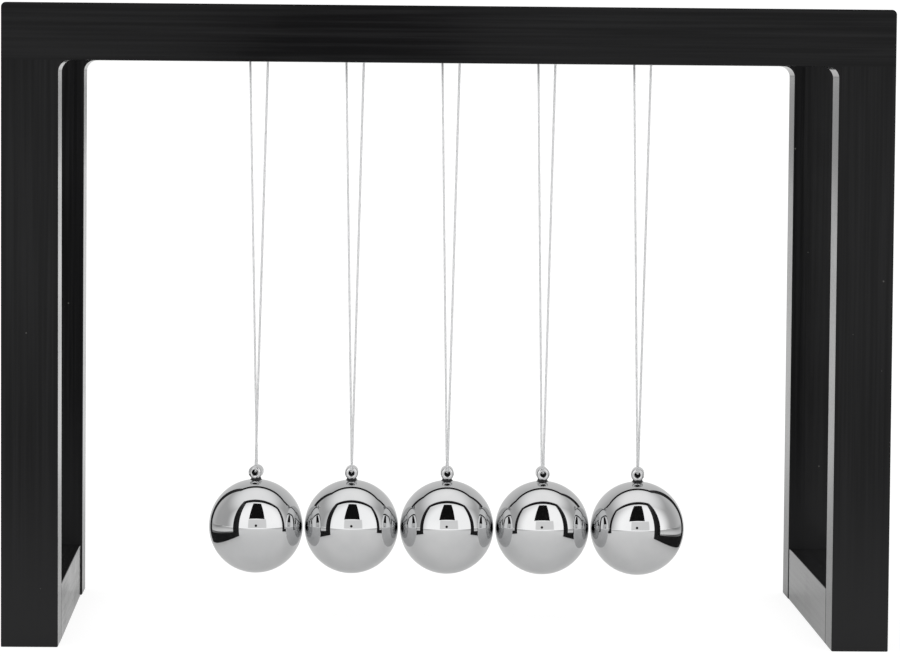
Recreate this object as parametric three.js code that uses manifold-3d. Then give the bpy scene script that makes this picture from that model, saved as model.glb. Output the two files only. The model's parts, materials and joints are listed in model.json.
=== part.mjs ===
// Newton's cradle: five steel balls that hang in a row from a gloss black frame.
// The frame is two arches, front and rear, joined at the floor by two side rails.
// Millimetres, +Z up, origin in the middle of the base. The row of balls runs along X,
// each ball hangs in a V of one thin line, and it swings about the axis through its V's ends.
import * as THREE from 'three';
import { mergeVertices } from 'three/addons/utils/BufferGeometryUtils.js';
import Module from 'manifold-3d';

// ---- Driving dimensions ---------------------------------------------------------------
const FRAME_LENGTH = 180;        // along X
const FRAME_DEPTH = 100;         // along Y, front face to rear face
const FRAME_HEIGHT = 130;
const BAR = 11.5;                // square section of the arches
const RAIL_INSET = 0.15;         // each side of a rail stands back this far from the legs' sides
const RAIL_HEIGHT = 11.3;
const OUTER_CORNER = 1.0;        // radius of the arch's outer top corners
const INNER_CORNER = 2.4;        // radius inside the arch, under the beam
const EDGE = 0.25;               // chamfer along the bars' long edges
const GAP = 0.3;                 // clearance between pieces that meet

const BALL_COUNT = 5;
const BALL_RADIUS = 10;
const BALL_PITCH = 20.35;        // ball centre to ball centre
const BALL_HEIGHT = 19.7;        // ball centre above the floor
const ROW_OFFSET = 1.4;          // the row hangs this far right of the frame's middle

const EYELET_RADIUS = 1.4;       // outside of the short tube on top of a ball
const EYELET_LENGTH = 3.4;       // along Y
const EYELET_MOUTH = 0.6;        // radius of the two wide mouths of its hole
const EYELET_BORE = 0.45;        // radius of the finer bore between them
const EYELET_WEB = 0.6;          // length of the finer bore
const EYELET_RISE = 11.6;        // tube's axis above the ball's centre
const STEM_RADIUS = 1.1;
const STEM_FOOT = 6.6;           // stem's lower end above the ball's centre

const LINE_RADIUS = 0.225;
const LINE_BEND = 1.1;           // radius in which the line turns into the eyelet
const BEND_STEPS = 6;
const LINE_START = 0.7;          // the swinging line starts this far below the beam

const LINE_SKEW = 0.77;          // the middle V's front end is this far right of its ball
const LINE_FAN = 0.98;           // each V to the right has its front end this much further left
const LINE_HOLE = 0.6;           // radius of the hole in the beam's underside
const KNOT_CHAMBER = 1.8;        // radius of the wider bore above it
const CHAMBER_FLOOR = 3.6;       // height of the chamber's floor above the underside
const KNOT_RADIUS = 1.2;
const PLUG_LENGTH = 3.5;

const DOWEL_RADIUS = 1.25;
const DOWEL_LENGTH = 14;
const DOWEL_SPREAD = 2.7;        // each dowel's height above or below the rail's middle

const ROUND_SIDES = 12;          // sides of holes, dowels and plugs
const LINE_SIDES = 8;
const BALL_SIDES = 24;

// ---- Worked out from them ---------------------------------------------------------------
const HALF_LENGTH = FRAME_LENGTH / 2;
const HALF_DEPTH = FRAME_DEPTH / 2;
const UNDERSIDE = FRAME_HEIGHT - BAR;
const BEAM_MIDDLE = HALF_DEPTH - BAR / 2;          // distance of each beam's middle from y = 0
const RAIL_MIDDLE = HALF_LENGTH - BAR / 2;         // distance of each rail's middle from x = 0
const RAIL_LENGTH = FRAME_DEPTH - 2 * BAR - 2 * GAP;
const EYELET_HEIGHT = BALL_HEIGHT + EYELET_RISE;
const fromMiddle = (number) => number - (BALL_COUNT + 1) / 2;
const ballX = (number) => ROW_OFFSET + fromMiddle(number) * BALL_PITCH;

// A line's two ends are equally far from its ball, so that the ball hangs midway between them.
// side is -1 for the front end and 1 for the rear one.
const holeX = (number, side) => ballX(number) - side * (LINE_SKEW - fromMiddle(number) * LINE_FAN);

// ---- Materials ----------------------------------------------------------------------------
const blackGloss = () => new THREE.MeshStandardMaterial({ color: 0x1c1c1e, roughness: 0.18, metalness: 0 });
const mirrorSteel = () => new THREE.MeshStandardMaterial({ color: 0xd8dadc, roughness: 0.04, metalness: 1 });
const plainSteel = () => new THREE.MeshStandardMaterial({ color: 0xb4b6b8, roughness: 0.3, metalness: 1 });
const clearLine = () => new THREE.MeshStandardMaterial({ color: 0xd5d8da, roughness: 0.25, metalness: 0 });

// ---- Solids: cutting and joining ------------------------------------------------------------
const wasm = await Module();
wasm.setup();

function toSolid(geometry) {
  const bare = geometry.clone();
  bare.deleteAttribute('normal');
  bare.deleteAttribute('uv');
  const merged = mergeVertices(bare, 1e-4);
  return new wasm.Manifold(new wasm.Mesh({
    numProp: 3,
    vertProperties: new Float32Array(merged.attributes.position.array),
    triVerts: new Uint32Array(merged.index.array),
  }));
}

function toGeometry(solid) {
  const mesh = solid.getMesh();
  const geometry = new THREE.BufferGeometry();
  geometry.setAttribute('position', new THREE.BufferAttribute(mesh.vertProperties, 3));
  geometry.setIndex(new THREE.BufferAttribute(mesh.triVerts, 1));
  geometry.computeVertexNormals();
  return geometry;
}

function cut(geometry, tools) {
  return toGeometry(tools.reduce((rest, tool) => rest.subtract(toSolid(tool)), toSolid(geometry)));
}

// ---- Simple shapes ----------------------------------------------------------------------------
// A round bar along Z from one height to another.
function uprightRod(radius, x, y, low, high) {
  const rod = new THREE.CylinderGeometry(radius, radius, high - low, ROUND_SIDES);
  rod.rotateX(Math.PI / 2);
  return rod.translate(x, y, (low + high) / 2);
}

// A round bar along Y, given by the middle of its length.
function levelRod(radius, length, x, y, z) {
  return new THREE.CylinderGeometry(radius, radius, length, ROUND_SIDES).translate(x, y, z);
}

// An outline in X and Z made into a bar along Y, with its edges chamfered, centred on y.
function bevelledBar(outline, length, y) {
  const bar = new THREE.ExtrudeGeometry(outline, {
    depth: length - 2 * EDGE,
    bevelThickness: EDGE,
    bevelSize: EDGE,
    bevelOffset: -EDGE,
    bevelSegments: 1,
    curveSegments: 4,
  });
  bar.rotateX(Math.PI / 2);
  return bar.translate(0, y + length / 2 - EDGE, 0);
}

// ---- Frame ------------------------------------------------------------------------------------
// Outline of an arch: two legs and a beam, open at the floor, with round corners.
function archOutline() {
  const legInside = HALF_LENGTH - BAR;
  const outline = new THREE.Shape();
  outline.moveTo(-HALF_LENGTH, 0);
  outline.lineTo(-HALF_LENGTH, FRAME_HEIGHT - OUTER_CORNER);
  outline.absarc(-HALF_LENGTH + OUTER_CORNER, FRAME_HEIGHT - OUTER_CORNER, OUTER_CORNER,
    Math.PI, Math.PI / 2, true);
  outline.lineTo(HALF_LENGTH - OUTER_CORNER, FRAME_HEIGHT);
  outline.absarc(HALF_LENGTH - OUTER_CORNER, FRAME_HEIGHT - OUTER_CORNER, OUTER_CORNER,
    Math.PI / 2, 0, true);
  outline.lineTo(HALF_LENGTH, 0);
  outline.lineTo(legInside, 0);
  outline.lineTo(legInside, UNDERSIDE - INNER_CORNER);
  outline.absarc(legInside - INNER_CORNER, UNDERSIDE - INNER_CORNER, INNER_CORNER,
    0, Math.PI / 2, false);
  outline.lineTo(INNER_CORNER - legInside, UNDERSIDE);
  outline.absarc(INNER_CORNER - legInside, UNDERSIDE - INNER_CORNER, INNER_CORNER,
    Math.PI / 2, Math.PI, false);
  outline.lineTo(-legInside, 0);
  return outline;
}

function railOutline(x) {
  const halfWidth = BAR / 2 - RAIL_INSET;
  const outline = new THREE.Shape();
  outline.moveTo(x - halfWidth, 0);
  outline.lineTo(x - halfWidth, RAIL_HEIGHT);
  outline.lineTo(x + halfWidth, RAIL_HEIGHT);
  outline.lineTo(x + halfWidth, 0);
  return outline;
}

// The two dowels of one corner, or their holes when they are made wider and longer.
function cornerRods(sideX, endY, radius, length) {
  const seam = Math.sign(endY) * (HALF_DEPTH - BAR - GAP / 2);
  return [-1, 1].map((level) =>
    levelRod(radius, length, sideX, seam, RAIL_HEIGHT / 2 + level * DOWEL_SPREAD));
}

function dowelHoles(sideX, endY) {
  return cornerRods(sideX, endY, DOWEL_RADIUS + GAP, DOWEL_LENGTH + 2 * GAP);
}

// Each line goes up a fine hole in the underside, into a chamber that is open at the top.
function lineHoles(side) {
  const y = side * BEAM_MIDDLE;
  const holes = [];
  for (let number = 1; number <= BALL_COUNT; number += 1) {
    const x = holeX(number, side);
    holes.push(uprightRod(LINE_HOLE, x, y, UNDERSIDE - 1, UNDERSIDE + CHAMBER_FLOOR + 1));
    holes.push(uprightRod(KNOT_CHAMBER, x, y, UNDERSIDE + CHAMBER_FLOOR, FRAME_HEIGHT + 1));
  }
  return holes;
}

// side is -1 for the front arch and 1 for the rear one.
function arch(side) {
  return cut(bevelledBar(archOutline(), BAR, side * BEAM_MIDDLE), [
    ...lineHoles(side),
    ...dowelHoles(-RAIL_MIDDLE, side),
    ...dowelHoles(RAIL_MIDDLE, side),
  ]);
}

// side is -1 for the left rail and 1 for the right one.
function rail(side) {
  return cut(bevelledBar(railOutline(side * RAIL_MIDDLE), RAIL_LENGTH, 0), [
    ...dowelHoles(side * RAIL_MIDDLE, -1),
    ...dowelHoles(side * RAIL_MIDDLE, 1),
  ]);
}

// ---- Balls and eyelets --------------------------------------------------------------------------
function eyeletTube(number, spare) {
  return levelRod(EYELET_RADIUS + spare, EYELET_LENGTH + 2 * spare, ballX(number), 0, EYELET_HEIGHT);
}

function eyeletStem(number, spare) {
  return uprightRod(STEM_RADIUS + spare, ballX(number), 0, BALL_HEIGHT + STEM_FOOT - spare, EYELET_HEIGHT);
}

// The ball is drilled for the stem and hollowed a little where the tube lies on it.
function ball(number) {
  const sphere = new THREE.SphereGeometry(BALL_RADIUS, BALL_SIDES, BALL_SIDES / 2);
  sphere.rotateX(Math.PI / 2);
  sphere.translate(ballX(number), 0, BALL_HEIGHT);
  return cut(sphere, [eyeletStem(number, GAP), eyeletTube(number, GAP)]);
}

// The tube's hole: a fine bore in the middle and a wide mouth at each end.
function eyeletHole(number) {
  const x = ballX(number);
  const deep = EYELET_LENGTH / 2;
  const mouthMiddle = EYELET_WEB / 2 + deep / 2;
  return [
    levelRod(EYELET_BORE, EYELET_LENGTH, x, 0, EYELET_HEIGHT),
    levelRod(EYELET_MOUTH, deep, x, -mouthMiddle, EYELET_HEIGHT),
    levelRod(EYELET_MOUTH, deep, x, mouthMiddle, EYELET_HEIGHT),
  ];
}

function eyelet(number) {
  const whole = toSolid(eyeletStem(number, 0)).add(toSolid(eyeletTube(number, 0)));
  return cut(toGeometry(whole), eyeletHole(number));
}

// ---- Lines ------------------------------------------------------------------------------------------
// A route through given points, with a ring of the line's surface at each of them.
class Route extends THREE.Curve {
  constructor(points) {
    super();
    this.points = points;
  }

  getPoint(t) {
    const place = t * (this.points.length - 1);
    const index = Math.min(Math.floor(place), this.points.length - 2);
    return this.points[index].clone().lerp(this.points[index + 1], place - index);
  }

  getPointAt(u) {
    return this.getPoint(u);
  }

  getTangentAt(u) {
    return this.getTangent(u);
  }
}

// Half of a ball's line, from the mouth of its eyelet up to the beam: an arc that turns from
// level to the line's slope, then a straight run towards the hole in the beam's underside.
function halfRoute(number, side) {
  const mouth = EYELET_LENGTH / 2;
  const across = BEAM_MIDDLE - mouth;
  const up = UNDERSIDE - EYELET_HEIGHT - LINE_BEND;
  const turn = Math.atan2(up, across) + Math.asin(LINE_BEND / Math.hypot(across, up));
  const start = ballX(number);
  const drift = (holeX(number, side) - start) / across;
  const point = (out, z) => new THREE.Vector3(start + drift * out, side * (mouth + out), z);
  const points = [];
  for (let step = 0; step <= BEND_STEPS; step += 1) {
    const angle = turn * step / BEND_STEPS;
    points.push(point(LINE_BEND * Math.sin(angle), EYELET_HEIGHT + LINE_BEND * (1 - Math.cos(angle))));
  }
  points.push(point(across - LINE_START / Math.tan(turn), UNDERSIDE - LINE_START));
  return points;
}

function line(number) {
  const points = [...halfRoute(number, -1).reverse(), ...halfRoute(number, 1)];
  const section = new THREE.Shape().absarc(0, 0, LINE_RADIUS, 0, 2 * Math.PI, false);
  return new THREE.ExtrudeGeometry(section, {
    extrudePath: new Route(points),
    steps: points.length - 1,
    curveSegments: LINE_SIDES / 2,
  });
}

// The line's fixed end: a short upright length in the fine hole, and the knot in the chamber.
function knot(number, side) {
  const stub = GAP;
  const knotMiddle = CHAMBER_FLOOR + GAP + KNOT_RADIUS;
  const profile = [new THREE.Vector2(0, stub), new THREE.Vector2(LINE_RADIUS, stub)];
  const first = Math.asin(LINE_RADIUS / KNOT_RADIUS);
  const turns = 5;
  for (let step = 0; step < turns; step += 1) {
    const angle = first + (Math.PI - first) * step / turns;
    profile.push(new THREE.Vector2(
      KNOT_RADIUS * Math.sin(angle),
      knotMiddle - KNOT_RADIUS * Math.cos(angle),
    ));
  }
  profile.push(new THREE.Vector2(0, knotMiddle + KNOT_RADIUS));
  const turned = new THREE.LatheGeometry(profile, LINE_SIDES);
  turned.rotateX(Math.PI / 2);
  return turned.translate(holeX(number, side), side * BEAM_MIDDLE, UNDERSIDE);
}

function plug(number, side) {
  const x = holeX(number, side);
  return uprightRod(KNOT_CHAMBER - GAP, x, side * BEAM_MIDDLE, FRAME_HEIGHT - PLUG_LENGTH, FRAME_HEIGHT);
}

// ---- Assembly -----------------------------------------------------------------------------------------
const cradle = new THREE.Group();

function add(name, geometry, material) {
  const mesh = new THREE.Mesh(geometry, material);
  mesh.name = name;
  cradle.add(mesh);
}

for (const [end, side] of [['front', -1], ['rear', 1]]) {
  add(`${end}_arch`, arch(side), blackGloss());
}
for (const [hand, side] of [['left', -1], ['right', 1]]) {
  add(`${hand}_side_rail`, rail(side), blackGloss());
}
for (const [end, endY] of [['front', -1], ['rear', 1]]) {
  for (const [hand, side] of [['left', -1], ['right', 1]]) {
    const [lower, upper] = cornerRods(side * RAIL_MIDDLE, endY, DOWEL_RADIUS, DOWEL_LENGTH);
    add(`${end}_${hand}_dowel_lower`, lower, plainSteel());
    add(`${end}_${hand}_dowel_upper`, upper, plainSteel());
  }
}
for (let number = 1; number <= BALL_COUNT; number += 1) {
  add(`ball_${number}`, ball(number), mirrorSteel());
  add(`eyelet_${number}`, eyelet(number), plainSteel());
  add(`line_${number}`, line(number), clearLine());
  for (const [end, side] of [['front', -1], ['rear', 1]]) {
    add(`${end}_knot_${number}`, knot(number, side), clearLine());
    add(`${end}_plug_${number}`, plug(number, side), blackGloss());
  }
}

export default cradle;
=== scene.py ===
"""Newton's cradle: smooth pieces, finishes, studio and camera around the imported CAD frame.

Everything is in metres in the CAD's frame: +X along the row of balls, +Y from the front
arch to the rear arch, +Z up, origin in the middle of the base.
"""
import json
import math

import bmesh
import bpy
from mathutils import Matrix, Vector


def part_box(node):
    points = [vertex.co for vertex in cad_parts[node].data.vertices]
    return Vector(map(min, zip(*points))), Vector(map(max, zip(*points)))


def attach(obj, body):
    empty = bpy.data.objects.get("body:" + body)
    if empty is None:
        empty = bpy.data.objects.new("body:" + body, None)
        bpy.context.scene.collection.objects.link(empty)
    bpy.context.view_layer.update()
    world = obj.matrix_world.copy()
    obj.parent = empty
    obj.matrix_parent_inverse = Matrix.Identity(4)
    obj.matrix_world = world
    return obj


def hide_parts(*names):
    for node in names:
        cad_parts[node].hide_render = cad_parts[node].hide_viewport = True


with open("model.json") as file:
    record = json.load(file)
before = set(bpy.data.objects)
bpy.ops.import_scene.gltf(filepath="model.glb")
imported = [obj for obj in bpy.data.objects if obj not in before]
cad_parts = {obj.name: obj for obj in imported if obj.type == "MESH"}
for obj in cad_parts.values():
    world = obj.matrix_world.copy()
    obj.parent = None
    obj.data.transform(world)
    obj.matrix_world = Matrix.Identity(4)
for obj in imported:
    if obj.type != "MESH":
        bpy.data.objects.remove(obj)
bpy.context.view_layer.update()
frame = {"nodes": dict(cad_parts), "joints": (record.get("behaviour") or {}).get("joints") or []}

# ---- Sizes read from the frame --------------------------------------------------------------
ARCH_LOW, ARCH_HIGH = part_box("front_arch")
BALL_LOW, BALL_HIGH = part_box("ball_1")
EYELET_LOW, EYELET_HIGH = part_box("eyelet_1")

SWINGS = frame["joints"]
UNDERSIDE = SWINGS[0]["pos_m"][2]
ROW = [swing["pos_m"][0] for swing in SWINGS]
HALF_LENGTH = ARCH_HIGH.x
HEIGHT = ARCH_HIGH.z
BAR = ARCH_HIGH.y - ARCH_LOW.y
BEAM_MIDDLE = -(ARCH_LOW.y + ARCH_HIGH.y) / 2
LEG_INSIDE = HALF_LENGTH - BAR

BALL_RADIUS = (BALL_HIGH.x - BALL_LOW.x) / 2
BALL_HEIGHT = BALL_LOW.z + BALL_RADIUS
EYELET_RADIUS = (EYELET_HIGH.x - EYELET_LOW.x) / 2
EYELET_HALF = EYELET_HIGH.y
EYELET_HEIGHT = EYELET_HIGH.z - EYELET_RADIUS


def middle_x(node):
    low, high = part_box(node)
    return (low.x + high.x) / 2


HOLES = {end: [middle_x(f"{end}_knot_{number}") for number in range(1, len(ROW) + 1)]
         for end in ("front", "rear")}

# ---- Sizes of the finer shapes --------------------------------------------------------------
MM = 0.001
OUTER_CORNER = 1.0 * MM         # radius of an arch's outer top corners
INNER_CORNER = 2.4 * MM         # radius inside an arch, under the beam
EDGE_RADIUS = 0.22 * MM         # rounding of the bars' edges
SEAM = 0.12 * MM                # gap between a rail and a leg
END_RADIUS = 0.45 * MM          # rounding of a rail's ends
REAR_STEPS = {"left": 0.30 * MM, "right": 0.12 * MM}   # rail's rear end behind the leg's side
LINE_HOLE = 0.6 * MM            # radius of the hole in the beam's underside
KNOT_CHAMBER = 1.8 * MM         # radius of the chamber above it
CHAMBER_FLOOR = 3.6 * MM        # above the underside
PLUG_RADIUS = 1.7 * MM
PLUG_LENGTH = 3.4 * MM
EYELET_MOUTH = 0.6 * MM         # radius of the eyelet's hole
EYELET_BORE = 0.28 * MM         # radius of the fine hole in its middle
EYELET_WEB = 0.3 * MM           # length of the fine hole
LINE_RADIUS = 0.225 * MM
LINE_BEND = 1.1 * MM            # radius in which the line turns into the eyelet
LINE_LIFT = 0.2 * MM            # the line lies this far above the middle of the eyelet
LINE_REACH = 0.25 * MM          # how far the swinging line goes up into its hole
FOOT_LEAN = 0.33 * MM           # the front left foot stands this far towards the middle
EYELET_TURNS = (-10.5, -2, 0, 4, -5)   # each eyelet's turn about the vertical, in degrees
EYELET_TILT = 4                        # each eyelet's rear end stands a little high, in degrees


# ---- Mesh helpers ---------------------------------------------------------------------------
def arc(centre_x, centre_z, radius, start, end, steps):
    """Points of an arc from one angle to another, in degrees."""
    points = []
    for step in range(steps + 1):
        angle = math.radians(start + (end - start) * step / steps)
        points.append((centre_x + radius * math.cos(angle), centre_z + radius * math.sin(angle)))
    return points


def make_object(name, bm, material, sharp_above=None):
    """An object of this mesh. Its faces are smooth; edges above the angle stay sharp."""
    mesh = bpy.data.meshes.new(name)
    bmesh.ops.recalc_face_normals(bm, faces=bm.faces)
    bm.to_mesh(mesh)
    bm.free()
    mesh.shade_smooth()
    if sharp_above is not None:
        mesh.set_sharp_from_angle(angle=math.radians(sharp_above))
    obj = bpy.data.objects.new(name, mesh)
    bpy.context.scene.collection.objects.link(obj)
    if material:
        mesh.materials.append(material)
    return obj


def extruded(outline, low_y, high_y):
    """A closed bar along Y with this outline in X and Z."""
    bm = bmesh.new()
    near = [bm.verts.new((x, low_y, z)) for x, z in outline]
    far = [bm.verts.new((x, high_y, z)) for x, z in outline]
    bm.faces.new(near)
    bm.faces.new(list(reversed(far)))
    for i in range(len(outline)):
        j = (i + 1) % len(outline)
        bm.faces.new((near[j], near[i], far[i], far[j]))
    bmesh.ops.recalc_face_normals(bm, faces=bm.faces)
    return bm


def round_edges(bm, edges, radius):
    bmesh.ops.bevel(bm, geom=edges, offset=radius, segments=4, profile=0.5,
                    affect="EDGES", clamp_overlap=True)


def corner_edges(bm):
    """The edges where two faces meet at more than 50 degrees."""
    return [e for e in bm.edges if e.calc_face_angle(0) > math.radians(50)]


def turned(bm, profile, centre):
    """Adds a body turned about the vertical through centre. The profile is (radius, height)
    from one end on the axis to the other."""
    steps = 40
    rings = []
    for radius, height in profile:
        if radius == 0:
            rings.append([bm.verts.new((centre[0], centre[1], centre[2] + height))])
            continue
        ring = []
        for step in range(steps):
            angle = 2 * math.pi * step / steps
            ring.append(bm.verts.new((
                centre[0] + radius * math.cos(angle),
                centre[1] + radius * math.sin(angle),
                centre[2] + height,
            )))
        rings.append(ring)
    for lower, upper in zip(rings, rings[1:]):
        for i in range(steps):
            j = (i + 1) % steps
            if len(lower) == 1:
                bm.faces.new((lower[0], upper[j], upper[i]))
            elif len(upper) == 1:
                bm.faces.new((lower[i], lower[j], upper[0]))
            else:
                bm.faces.new((lower[i], lower[j], upper[j], upper[i]))


def drill(obj, holes_bm):
    """Cuts these bodies out of the object and keeps the result as its mesh."""
    cutter = make_object("cutter", holes_bm, None)
    cut = obj.modifiers.new("holes", "BOOLEAN")
    cut.operation = "DIFFERENCE"
    cut.solver = "EXACT"
    cut.object = cutter
    bpy.context.view_layer.update()
    evaluated = obj.evaluated_get(bpy.context.evaluated_depsgraph_get())
    mesh = bpy.data.meshes.new_from_object(evaluated)
    obj.modifiers.clear()
    obj.data = mesh
    bpy.data.objects.remove(cutter)


def even_shading(obj):
    """Flat faces shade flat and round edges shade round."""
    obj.data.shade_smooth()
    obj.data.set_sharp_from_angle(angle=math.radians(40))
    weighted = obj.modifiers.new("weighted", "WEIGHTED_NORMAL")
    weighted.keep_sharp = True
    weighted.weight = 100


# ---- Material helpers -----------------------------------------------------------------------
class Tree:
    """The node tree of a material or a world, with short ways to add nodes to it."""

    def __init__(self, owner):
        owner.use_nodes = True
        self.nodes = owner.node_tree.nodes
        self.links = owner.node_tree.links

    def feed(self, socket, value):
        """Gives an input a number or a colour, or links it to another node's output."""
        if isinstance(value, bpy.types.NodeSocket):
            self.links.new(value, socket)
        else:
            socket.default_value = value

    def ramp(self, value, low, high, to_low, to_high):
        """Goes smoothly from to_low to to_high as the value goes from low to high."""
        node = self.nodes.new("ShaderNodeMapRange")
        node.interpolation_type = "SMOOTHSTEP"
        for socket, number in (("Value", value), ("From Min", low), ("From Max", high),
                               ("To Min", to_low), ("To Max", to_high)):
            self.feed(node.inputs[socket], number)
        return node.outputs["Result"]

    def math(self, operation, *values):
        node = self.nodes.new("ShaderNodeMath")
        node.operation = operation
        for socket, value in zip(node.inputs, values):
            self.feed(socket, value)
        return node.outputs["Value"]


class Shader(Tree):
    """A material and its node tree."""

    def __init__(self, name):
        self.material = bpy.data.materials.new(name)
        super().__init__(self.material)
        self.principled = self.nodes["Principled BSDF"]
        self.place = self.nodes.new("ShaderNodeTexCoord").outputs["Object"]

    def set(self, **values):
        for socket, value in values.items():
            self.principled.inputs[socket.replace("_", " ")].default_value = value

    def drive(self, socket, output):
        self.links.new(output, self.principled.inputs[socket])

    def noise(self, scale, detail=3.0, offset=(0, 0, 0)):
        """Noise between 0 and 1; scale has one value for each of X, Y and Z, per metre."""
        mapping = self.nodes.new("ShaderNodeMapping")
        mapping.inputs["Scale"].default_value = scale
        mapping.inputs["Location"].default_value = offset
        texture = self.nodes.new("ShaderNodeTexNoise")
        texture.inputs["Scale"].default_value = 1.0
        texture.inputs["Detail"].default_value = detail
        texture.inputs["Roughness"].default_value = 0.5
        self.links.new(self.place, mapping.inputs["Vector"])
        self.links.new(mapping.outputs["Vector"], texture.inputs["Vector"])
        return texture.outputs["Fac"]

    def blend(self, factor, first, second, kind="FLOAT"):
        """Mixes two numbers, or two colours if the kind is RGBA."""
        node = self.nodes.new("ShaderNodeMix")
        node.data_type = kind
        for socket, value in (("Factor", factor), ("A", first), ("B", second)):
            self.feed(node.inputs[socket], value)
        return node.outputs["Result"]

    def colour(self, factor, low, high):
        """Mixes two colours, given as red, green and blue."""
        return self.blend(factor, (*low, 1), (*high, 1), "RGBA")

    def bump(self, height, distance):
        node = self.nodes.new("ShaderNodeBump")
        node.inputs["Strength"].default_value = 1.0
        node.inputs["Distance"].default_value = distance
        self.links.new(height, node.inputs["Height"])
        self.drive("Normal", node.outputs["Normal"])

    def axes(self):
        node = self.nodes.new("ShaderNodeSeparateXYZ")
        self.links.new(self.place, node.inputs["Vector"])
        return node.outputs["X"], node.outputs["Y"], node.outputs["Z"]


def dust(shader, cells, share, radius):
    """Sparse specks: 1 on a speck and 0 elsewhere. cells are per metre, share is how many of
    them hold a speck, and radius is a speck's size against its cell."""
    voronoi = shader.nodes.new("ShaderNodeTexVoronoi")
    voronoi.inputs["Scale"].default_value = cells
    shader.links.new(shader.place, voronoi.inputs["Vector"])
    near = shader.math("LESS_THAN", voronoi.outputs["Distance"], radius)
    split = shader.nodes.new("ShaderNodeSeparateColor")
    shader.links.new(voronoi.outputs["Color"], split.inputs["Color"])
    kept = shader.math("LESS_THAN", split.outputs["Red"], share)
    return shader.math("MULTIPLY", near, kept)


# ---- Materials ------------------------------------------------------------------------------
def piano_black(name, shine, streak_scale, leg_streak_scale=None):
    """Gloss black with faint polishing streaks along the bar, a little haze and dust. shine
    is the level of its reflection. An arch's legs have their own streaks, along Z, and are
    a little paler at the foot, which is painted light."""
    s = Shader(name)
    streaks = s.noise(streak_scale, detail=4)
    if leg_streak_scale:
        x, _, z = s.axes()
        beside = s.math("GREATER_THAN", s.math("ABSOLUTE", x), LEG_INSIDE)
        below = s.math("LESS_THAN", z, UNDERSIDE)
        on_leg = s.math("MULTIPLY", beside, below)
        streaks = s.blend(on_leg, streaks, s.noise(leg_streak_scale, detail=4))
    haze = s.noise((60, 60, 60), detail=3, offset=(3, 1, 2))
    specks = dust(s, cells=330, share=0.09, radius=0.06)
    low, high = (0.0064, 0.0064, 0.0067), (0.0118, 0.0118, 0.0123)
    # colour of the painted light at the legs' feet
    painted_foot_light = (0.018, 0.018, 0.0186, 1)
    speck_grey = (0.07, 0.07, 0.066, 1)
    tone = s.colour(s.ramp(streaks, 0.35, 0.7, 0, 1), low, high)
    # painted light: the legs turn paler towards the floor
    if leg_streak_scale:
        tone = s.blend(s.ramp(z, 0, 50 * MM, 1, 0), tone, painted_foot_light, "RGBA")
    s.drive("Base Color", s.blend(specks, tone, speck_grey, "RGBA"))
    polish = s.math("ADD", s.ramp(streaks, 0.3, 0.75, 0.07, 0.13), s.ramp(haze, 0.4, 0.7, 0, 0.05))
    s.drive("Roughness", s.math("MAXIMUM", polish, s.math("MULTIPLY", specks, 0.6)))
    s.bump(s.math("ADD", streaks, s.math("MULTIPLY", specks, 3.0)), 0.004 * MM)
    s.set(IOR=1.5, Specular_IOR_Level=shine)
    return s.material


def mirror_steel():
    """Polished steel: a clean mirror with a breath of haze and hairline scratches."""
    s = Shader("mirror_steel")
    haze = s.noise((160, 160, 160), detail=4, offset=(1, 5, 2))
    hairlines = s.noise((400, 5200, 900), detail=2, offset=(2, 2, 7))
    low, high = (0.60, 0.605, 0.61), (0.64, 0.642, 0.645)
    s.drive("Base Color", s.colour(s.ramp(haze, 0.35, 0.7, 0, 1), low, high))
    s.drive("Roughness", s.ramp(haze, 0.4, 0.75, 0.018, 0.05))
    s.bump(hairlines, 0.00025 * MM)
    s.set(Metallic=1.0)
    return s.material


def eyelet_steel():
    """Bright steel of the eyelets, with fine turning marks round the tube."""
    s = Shader("eyelet_steel")
    rings = s.noise((900, 5200, 900), detail=2)
    s.drive("Base Color", s.colour(rings, (0.56, 0.565, 0.57), (0.68, 0.68, 0.685)))
    s.drive("Roughness", s.ramp(rings, 0.3, 0.7, 0.06, 0.14))
    s.bump(rings, 0.002 * MM)
    s.set(Metallic=1.0)
    return s.material


def painted_shade_steel():
    """Steel inside the eyelet's hole and on its seat, dark with painted shade, as little light
    reaches in there.
    """
    s = Shader("painted_shade_steel")
    scale = s.noise((5000, 5000, 5000), detail=3)
    s.drive("Base Color", s.colour(scale, (0.010, 0.010, 0.011), (0.05, 0.05, 0.052)))
    s.drive("Roughness", s.ramp(scale, 0.3, 0.7, 0.3, 0.5))
    s.bump(scale, 0.006 * MM)
    s.set(Metallic=0.7)
    return s.material


def plain_steel():
    """Ground steel of the dowels inside the corners."""
    s = Shader("plain_steel")
    grain = s.noise((9000, 300, 9000), detail=3)
    s.drive("Base Color", s.colour(grain, (0.42, 0.42, 0.43), (0.58, 0.58, 0.59)))
    s.drive("Roughness", s.ramp(grain, 0.3, 0.7, 0.25, 0.42))
    s.bump(grain, 0.003 * MM)
    s.set(Metallic=1.0)
    return s.material


def clear_nylon():
    """Clear monofilament, slightly milky, drawn lengthwise."""
    s = Shader("clear_nylon")
    drawn = s.noise((9000, 900, 250), detail=2)
    s.drive("Base Color", s.colour(drawn, (0.76, 0.77, 0.775), (0.9, 0.905, 0.91)))
    s.drive("Roughness", s.ramp(drawn, 0.3, 0.7, 0.22, 0.36))
    s.bump(drawn, 0.004 * MM)
    s.set(IOR=1.53, Transmission_Weight=0.45)
    return s.material


def satin_black():
    """Moulded black plastic of the plugs."""
    s = Shader("satin_black")
    grain = s.noise((7000, 7000, 7000), detail=3)
    s.drive("Base Color", s.colour(grain, (0.010, 0.010, 0.0105), (0.018, 0.018, 0.0185)))
    s.drive("Roughness", s.ramp(grain, 0.3, 0.7, 0.28, 0.42))
    s.bump(grain, 0.006 * MM)
    return s.material


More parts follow.
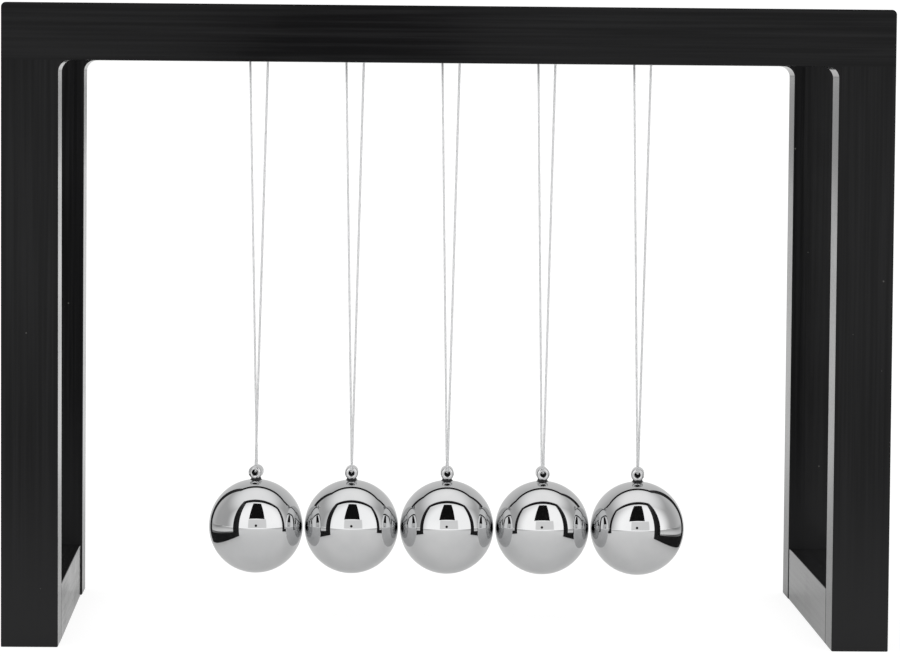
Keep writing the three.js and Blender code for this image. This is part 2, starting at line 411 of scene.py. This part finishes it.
# ---- Frame pieces ---------------------------------------------------------------------------
def arch_outline():
    """Two legs and a beam, open at the floor, with round corners."""
    outer = HALF_LENGTH - OUTER_CORNER
    inner = LEG_INSIDE - INNER_CORNER
    outline = [(-HALF_LENGTH, 0)]
    outline += arc(-outer, HEIGHT - OUTER_CORNER, OUTER_CORNER, 180, 90, 8)
    outline += arc(outer, HEIGHT - OUTER_CORNER, OUTER_CORNER, 90, 0, 8)
    outline += [(HALF_LENGTH, 0), (LEG_INSIDE, 0)]
    outline += arc(inner, UNDERSIDE - INNER_CORNER, INNER_CORNER, 0, 90, 12)
    outline += arc(-inner, UNDERSIDE - INNER_CORNER, INNER_CORNER, 90, 180, 12)
    outline.append((-LEG_INSIDE, 0))
    return outline


def line_holes(end, y):
    """For each line a fine hole with a countersunk mouth, and the knot's chamber above it."""
    bm = bmesh.new()
    beyond = 1 * MM
    lip = 0.25 * MM
    profile = [
        (0, -beyond),
        (LINE_HOLE + lip, -beyond),
        (LINE_HOLE + lip, 0),
        (LINE_HOLE, lip),
        (LINE_HOLE, CHAMBER_FLOOR),
        (KNOT_CHAMBER, CHAMBER_FLOOR),
        (KNOT_CHAMBER, HEIGHT - UNDERSIDE - lip),
        (KNOT_CHAMBER + lip, HEIGHT - UNDERSIDE),
        (KNOT_CHAMBER + lip, HEIGHT - UNDERSIDE + beyond),
        (0, HEIGHT - UNDERSIDE + beyond),
    ]
    for x in HOLES[end]:
        turned(bm, profile, (x, y, UNDERSIDE))
    return bm


def lean_foot(obj):
    """Moves what is at the front left foot a little towards the middle, less higher up and
    further back."""
    for vertex in obj.data.vertices:
        x, y, z = vertex.co
        if x < 0 and z < UNDERSIDE:
            back = min(1, max(0, (y + BEAM_MIDDLE - BAR / 2) / (2 * BEAM_MIDDLE - BAR)))
            vertex.co.x += FOOT_LEAN * (1 - z / UNDERSIDE) * (1 - back)


def make_arch(end, side, material):
    middle = side * BEAM_MIDDLE
    bm = extruded(arch_outline(), middle - BAR / 2, middle + BAR / 2)
    round_edges(bm, corner_edges(bm), EDGE_RADIUS)
    arch = make_object(f"{end}_arch_body", bm, material)
    drill(arch, line_holes(end, middle))
    lean_foot(arch)
    even_shading(arch)
    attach(arch, "frame")
    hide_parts(f"{end}_arch")


def make_rail(hand, material):
    """A square bar with softened ends. Its inner side is level with the front leg's side,
    and it stands back a hair from the rear leg's."""
    low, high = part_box(f"{hand}_side_rail")
    outline = [(low.x, low.z), (low.x, high.z), (high.x, high.z), (high.x, low.z)]
    half = BEAM_MIDDLE - BAR / 2 - SEAM
    bm = extruded(outline, -half, half)
    ends = [e for e in bm.edges if e.verts[0].co.y * e.verts[1].co.y > 0]
    round_edges(bm, ends, END_RADIUS)
    round_edges(bm, corner_edges(bm), EDGE_RADIUS)
    outward = 1 if hand == "right" else -1
    inset = LEG_INSIDE - min(abs(low.x), abs(high.x))
    for vertex in bm.verts:
        along = (vertex.co.y + half) / (2 * half)
        vertex.co.x += outward * (inset + REAR_STEPS[hand] * along)
    rail = make_object(f"{hand}_rail_body", bm, material)
    lean_foot(rail)
    even_shading(rail)
    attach(rail, "frame")
    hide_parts(f"{hand}_side_rail")


def make_plug(end, side, number, material):
    """A moulded plug, flush with the beam's top, with a fine chamfer and a gate mark."""
    chamfer = 0.15 * MM
    top = -0.05 * MM
    dimple = 0.35 * MM
    profile = [
        (0, -PLUG_LENGTH),
        (PLUG_RADIUS - chamfer, -PLUG_LENGTH),
        (PLUG_RADIUS, -PLUG_LENGTH + chamfer),
        (PLUG_RADIUS, top - chamfer),
        (PLUG_RADIUS - chamfer, top),
        (2 * dimple, top),
        (dimple, top - chamfer),
        (0, top - chamfer),
    ]
    bm = bmesh.new()
    turned(bm, profile, (HOLES[end][number - 1], side * BEAM_MIDDLE, HEIGHT))
    plug = make_object(f"{end}_plug_{number}_cap", bm, material, sharp_above=35)
    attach(plug, "frame")
    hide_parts(f"{end}_plug_{number}")


# ---- Balls, eyelets and lines ---------------------------------------------------------------
def make_ball(number, material):
    """A true sphere made from a cube's grid, so that no pole shows in the mirror."""
    cells = 36
    bm = bmesh.new()
    bmesh.ops.create_cube(bm, size=2)
    bmesh.ops.subdivide_edges(bm, edges=bm.edges, cuts=cells - 1, use_grid_fill=True)
    centre = Vector((ROW[number - 1], 0, BALL_HEIGHT))
    for vertex in bm.verts:
        even = Vector([math.tan(c * math.pi / 4) for c in vertex.co])
        vertex.co = centre + even.normalized() * BALL_RADIUS
    ball = make_object(f"ball_{number}_sphere", bm, material)
    normals = [(v.co - centre).normalized() for v in ball.data.vertices]
    ball.data.normals_split_custom_set_from_vertices(normals)
    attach(ball, f"ball_{number}")
    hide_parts(f"ball_{number}")


def tube_outside():
    """Half of the eyelet tube's outside, as (radius, distance along the tube) to its mouth."""
    rim = 0.5 * MM
    lip = 0.12 * MM
    corner = arc(EYELET_HALF - rim, EYELET_RADIUS - rim, rim, 90, 0, 6)
    return [(radius, along) for along, radius in corner] + [(EYELET_MOUTH + lip, EYELET_HALF)]


def tube_inside():
    """Half of the tube's hole, from the mouth to the fine hole in the middle."""
    lip = 0.12 * MM
    return [
        (EYELET_MOUTH, EYELET_HALF - lip),
        (EYELET_MOUTH, EYELET_WEB / 2 + 2 * lip),
        (EYELET_BORE, EYELET_WEB / 2),
    ]


def add_saddle(bm, x, turn, steps):
    """The oval seat under the tube, brazed to the ball: its foot follows the ball's surface.
    Each level is (half width, half length, height above the ball, or None for the flat top)."""
    sink = 0.3 * MM
    top = EYELET_HEIGHT - BALL_HEIGHT - 1.0 * MM
    levels = [
        (1.28 * MM, 1.60 * MM, -sink),
        (1.28 * MM, 1.60 * MM, 0.02 * MM),
        (1.14 * MM, 1.46 * MM, 0.09 * MM),
        (1.06 * MM, 1.38 * MM, 0.22 * MM),
        (0.94 * MM, 1.30 * MM, None),
    ]
    rings = []
    for half_x, half_y, above in levels:
        ring = []
        for step in range(steps):
            angle = 2 * math.pi * step / steps
            spot = Vector((half_x * math.cos(angle), half_y * math.sin(angle)))
            surface = math.sqrt(BALL_RADIUS ** 2 - spot.length_squared)
            height = top if above is None else surface + above
            spot.rotate(Matrix.Rotation(turn, 2))
            ring.append(bm.verts.new((x + spot.x, spot.y, BALL_HEIGHT + height)))
        rings.append(ring)
    faces = [bm.faces.new(rings[0]), bm.faces.new(rings[-1])]
    for lower, upper in zip(rings, rings[1:]):
        for i in range(steps):
            j = (i + 1) % steps
            faces.append(bm.faces.new((lower[i], lower[j], upper[j], upper[i])))
    # the seat takes the eyelet's second material, dark steel with painted shade
    for face in faces:
        face.material_index = 1


def make_eyelet(number, bright, dark):
    """A short level tube with rounded ends, on an oval seat that is brazed to the ball.
    Its hole and its seat are dark with painted shade, where little light reaches."""
    steps = 40
    bm = bmesh.new()
    turn = math.radians(EYELET_TURNS[number - 1])
    pose = Matrix.Rotation(turn, 4, "Z") @ Matrix.Rotation(math.radians(EYELET_TILT), 4, "X")
    centre = Vector((ROW[number - 1], 0, EYELET_HEIGHT))
    outside = tube_outside()
    half = outside + tube_inside()
    rear = [(radius, along, i > len(outside)) for i, (radius, along) in enumerate(half)]
    front = [(radius, -along, inner) for radius, along, inner in rear]
    rings = []
    for radius, along, inner in rear + front[::-1]:
        ring = []
        for step in range(steps):
            angle = 2 * math.pi * step / steps
            lift = LINE_LIFT if radius == EYELET_BORE else 0
            spot = Vector((radius * math.cos(angle), along, radius * math.sin(angle) + lift))
            ring.append(bm.verts.new(centre + pose @ spot))
        rings.append((ring, inner))
    # faces in the hole take the dark steel with painted shade
    for (here, dark_here), (after, dark_after) in zip(rings, rings[1:] + rings[:1]):
        for i in range(steps):
            j = (i + 1) % steps
            face = bm.faces.new((here[i], here[j], after[j], after[i]))
            face.material_index = int(dark_here or dark_after)
    add_saddle(bm, ROW[number - 1], turn, steps)
    eyelet = make_object(f"eyelet_{number}_tube", bm, bright, sharp_above=50)
    eyelet.data.materials.append(dark)
    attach(eyelet, f"ball_{number}")
    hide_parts(f"eyelet_{number}")


def half_route():
    """From the eyelet's mouth to the hole in the beam: (across, height) of each point."""
    across = BEAM_MIDDLE - EYELET_HALF
    low = EYELET_HEIGHT + LINE_LIFT
    up = UNDERSIDE - low - LINE_BEND
    turn = math.atan2(up, across) + math.asin(LINE_BEND / math.hypot(across, up))
    points = []
    steps = 10
    for step in range(steps + 1):
        angle = turn * step / steps
        points.append((
            EYELET_HALF + LINE_BEND * math.sin(angle),
            low + LINE_BEND * (1 - math.cos(angle)),
        ))
    past = LINE_REACH / math.tan(turn)
    points.append((BEAM_MIDDLE + past, UNDERSIDE + LINE_REACH))
    return points


def line_x(number, y):
    """Where a line is in X: through the turned eyelet, then straight to its hole."""
    end = HOLES["front" if y < 0 else "rear"][number - 1]
    aside = -0.5 * EYELET_HALF * math.sin(math.radians(EYELET_TURNS[number - 1]))
    start = ROW[number - 1] + math.copysign(aside, aside * y)
    share = (abs(y) - EYELET_HALF) / (BEAM_MIDDLE - EYELET_HALF)
    return start + (end - start) * max(0, share)


def make_line(number, material):
    """One thread: front beam, down through the eyelet, and up to the rear beam. A turned
    eyelet takes it a little aside. It's too thin to show in the balls."""
    sides = 16
    half = half_route()
    route = [(-across, height) for across, height in reversed(half)] + half
    points = [Vector((line_x(number, y), y, z)) for y, z in route]
    bm = bmesh.new()
    sideways = Vector((1, 0, 0))
    rings = []
    for i, point in enumerate(points):
        before = points[max(i - 1, 0)]
        after = points[min(i + 1, len(points) - 1)]
        outward = (after - before).normalized().cross(sideways)
        ring = []
        for step in range(sides):
            angle = 2 * math.pi * step / sides
            spot = point + LINE_RADIUS * (math.cos(angle) * sideways + math.sin(angle) * outward)
            ring.append(bm.verts.new(spot))
        rings.append(ring)
    for here, after in zip(rings, rings[1:]):
        for i in range(sides):
            j = (i + 1) % sides
            bm.faces.new((here[i], here[j], after[j], after[i]))
    bm.faces.new(rings[0])
    bm.faces.new(rings[-1])
    line = make_object(f"line_{number}_thread", bm, material, sharp_above=60)
    line.visible_glossy = False
    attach(line, f"ball_{number}")
    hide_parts(f"line_{number}")


# ---- Studio ---------------------------------------------------------------------------------
def make_floor(name, height):
    """A plain pale floor, much larger than the view, and its material."""
    bm = bmesh.new()
    bmesh.ops.create_grid(bm, x_segments=1, y_segments=1, size=30)
    bmesh.ops.translate(bm, verts=bm.verts, vec=(0, 0, height))
    shader = Shader(name)
    shader.set(Roughness=0.9, Specular_IOR_Level=0.0, Emission_Color=(1, 1, 1, 1))
    floor = make_object(name, bm, shader.material)
    return floor, shader


def make_floors():
    """The camera sees a white floor. The steel and the gloss reflect another one in its
    place, with painted light and shade in its glow and its colour: it is brightest far in
    front, where the light comes from, and darker under the object and beside it."""
    seen, shader = make_floor("floor_seen", 0)
    shader.set(Base_Color=(0.25, 0.25, 0.25, 1), Emission_Strength=0.85)
    seen.visible_glossy = False
    seen.visible_diffuse = False
    seen.visible_transmission = False
    seen.visible_shadow = False

    mirrored, shader = make_floor("floor_mirrored", -0.2 * MM)
    x, y, _ = shader.axes()
    # painted shade: the floor's colour is darker beside the object
    beside = shader.ramp(shader.math("ABSOLUTE", x), 0.1, 0.45, 0.0, 1.0)
    aside = shader.math("MULTIPLY", beside, shader.ramp(y, -1.2, -0.5, 0.0, 1.0))
    shader.drive("Base Color", shader.colour(aside, (0.62, 0.62, 0.62), (0.40, 0.40, 0.40)))
    # painted light and shade: the floor glows brightest far in front, less under the object, more
    # behind it and less beside it
    far = shader.ramp(y, -1.3, -0.15, 0.96, 0.33)
    near = shader.ramp(y, -0.08, 0.15, 0.0, -0.25)
    behind = shader.ramp(y, 0.12, 0.5, 0.0, 0.28)
    sides = shader.math("MULTIPLY", aside, -0.16)
    glow = shader.math("ADD", shader.math("ADD", far, near), shader.math("ADD", behind, sides))
    shader.drive("Emission Strength", glow)
    mirrored.visible_camera = False


def make_lens():
    """The front of the camera, a dark disc that only reflections show."""
    radius = 0.052
    bm = bmesh.new()
    bmesh.ops.create_circle(bm, cap_ends=True, segments=64, radius=radius)
    shader = Shader("lens_black")
    shader.set(Base_Color=(0.004, 0.004, 0.004, 1), Roughness=0.6)
    lens = make_object("lens_disc", bm, shader.material)
    lens.matrix_world = bpy.context.scene.camera.matrix_world
    lens.visible_camera = False
    lens.visible_diffuse = False
    lens.visible_shadow = False


def make_screen():
    """A dark screen that hangs above the lens, in front of the row, narrower at the top left.
    Only reflections show it."""
    y = -0.55
    low, high = 0.25, 1.06
    corners = [(-0.205, low), (0.2, low), (0.2, high), (-0.14, high)]
    bm = bmesh.new()
    bm.faces.new([bm.verts.new((x, y, z)) for x, z in corners])
    shader = Shader("screen_black")
    shader.set(Base_Color=(0.012, 0.012, 0.012, 1), Roughness=0.9, Specular_IOR_Level=0.0)
    screen = make_object("screen_dark", bm, shader.material)
    screen.visible_camera = False
    screen.visible_diffuse = False
    screen.visible_transmission = False
    screen.visible_shadow = False


class Sky(Tree):
    """The world, in which tones depend on the direction."""

    def __init__(self, name):
        world = bpy.data.worlds.new(name)
        bpy.context.scene.world = world
        super().__init__(world)
        self.nodes.clear()
        self.direction = self.nodes.new("ShaderNodeTexCoord").outputs["Generated"]

    def lobe(self, axis, inner, outer, peak, base):
        """peak within inner degrees of the axis, and base beyond outer degrees."""
        dot = self.nodes.new("ShaderNodeVectorMath")
        dot.operation = "DOT_PRODUCT"
        dot.inputs[1].default_value = Vector(axis).normalized()
        self.links.new(self.direction, dot.inputs[0])
        start, end = math.cos(math.radians(outer)), math.cos(math.radians(inner))
        return self.ramp(dot.outputs["Value"], start, end, base, peak)

    def angles(self):
        """Azimuth to the right of the front, and elevation, in radians."""
        split = self.nodes.new("ShaderNodeSeparateXYZ")
        self.links.new(self.direction, split.inputs["Vector"])
        x, y, z = split.outputs
        azimuth = self.math("ARCTAN2", x, self.math("MULTIPLY", y, -1.0))
        return azimuth, self.math("ARCSINE", z)

    def panel(self, left, right, low, high, soft):
        """1 inside a panel and 0 outside it; its sides are given in degrees."""
        azimuth, elevation = self.angles()
        inside = 1.0
        for value, near, far in ((azimuth, left, right), (elevation, low, high)):
            for edge, before, after in ((near, 0.0, 1.0), (far, 1.0, 0.0)):
                start, end = math.radians(edge - soft), math.radians(edge + soft)
                part = self.ramp(value, start, end, before, after)
                inside = self.math("MULTIPLY", inside, part)
        return inside

    def mix(self, share, under, over):
        """under where share is 0 and over where it is 1."""
        kept = self.math("MULTIPLY", under, self.math("SUBTRACT", 1.0, share))
        return self.math("ADD", kept, self.math("MULTIPLY", share, over))

    def light(self, strength):
        """White light of this strength."""
        node = self.nodes.new("ShaderNodeBackground")
        node.inputs["Color"].default_value = (1, 1, 1, 1)
        self.feed(node.inputs["Strength"], strength)
        return node.outputs["Background"]


def make_world():
    """A light tent: bright in front and above, dimmer at the sides and behind. In front it
    has a grey panel round the lens. The camera itself sees plain white."""
    sky = Sky("light_tent")
    wall = sky.lobe((0.12, -1, 0.05), inner=50, outer=84, peak=1.4, base=0.5)
    ceiling = sky.lobe((0, -0.25, 1), inner=18, outer=62, peak=1.15, base=0.5)
    behind = sky.lobe((0.1, 1, 0.1), inner=35, outer=80, peak=0.72, base=0.48)
    tone = sky.math("MAXIMUM", wall, sky.math("MAXIMUM", ceiling, behind))
    panel = sky.panel(left=-18, right=27, low=-20, high=21, soft=1.0)
    panel_tone = 0.95
    tone = sky.mix(panel, tone, panel_tone)

    path = sky.nodes.new("ShaderNodeLightPath").outputs
    straight = sky.math("MAXIMUM", path["Is Camera Ray"], path["Is Transmission Ray"])
    mix = sky.nodes.new("ShaderNodeMixShader")
    sky.links.new(straight, mix.inputs["Fac"])
    plain_white = 1.05
    sky.links.new(sky.light(tone), mix.inputs[1])
    sky.links.new(sky.light(plain_white), mix.inputs[2])
    output = sky.nodes.new("ShaderNodeOutputWorld")
    sky.links.new(mix.outputs["Shader"], output.inputs["Surface"])


def make_camera():
    """Stands in front, left of the middle, level with the beams' underside. It's turned a
    little to the right, tilted down and rolled."""
    stand = Vector((-0.02094, -0.93956, 0.118))
    turn, tilt, roll = math.radians(1.383), math.radians(-3.402), math.radians(0.5)
    level = Vector((math.sin(turn), math.cos(turn), 0))
    ahead = level * math.cos(tilt) + Vector((0, 0, math.sin(tilt)))
    right = Vector((math.cos(turn), -math.sin(turn), 0))
    up = right.cross(ahead)
    right, up = (math.cos(roll) * right + math.sin(roll) * up,
                 math.cos(roll) * up - math.sin(roll) * right)
    data = bpy.data.cameras.new("camera")
    data.lens = 176.86
    data.sensor_width = 36
    data.clip_start = 0.01
    camera = bpy.data.objects.new("camera", data)
    bpy.context.scene.collection.objects.link(camera)
    rotation = Matrix((right, up, -ahead)).transposed().to_4x4()
    camera.matrix_world = Matrix.Translation(stand) @ rotation
    bpy.context.scene.camera = camera


# ---- Putting it together --------------------------------------------------------------------
make_camera()

arch_black = piano_black("arch_black", 0.082, (18, 1300, 1300), (1300, 1300, 18))
rail_black = piano_black("rail_black", 0.17, (1300, 18, 1300))
steel = mirror_steel()
ring_steel = eyelet_steel()
# dark steel with painted shade, for the eyelets' holes and seats
shade_steel = painted_shade_steel()
dowel_steel = plain_steel()
nylon = clear_nylon()
plug_black = satin_black()

for end, side in (("front", -1), ("rear", 1)):
    make_arch(end, side, arch_black)
for hand in ("left", "right"):
    make_rail(hand, rail_black)
for number in range(1, len(ROW) + 1):
    make_ball(number, steel)
    make_eyelet(number, ring_steel, shade_steel)
    make_line(number, nylon)
    for end, side in (("front", -1), ("rear", 1)):
        make_plug(end, side, number, plug_black)
        frame["nodes"][f"{end}_knot_{number}"].data.materials[0] = nylon
for end in ("front", "rear"):
    for hand in ("left", "right"):
        for level in ("lower", "upper"):
            frame["nodes"][f"{end}_{hand}_dowel_{level}"].data.materials[0] = dowel_steel

make_floors()
make_lens()
make_screen()
make_world()
bpy.context.scene.view_settings.view_transform = "Standard"
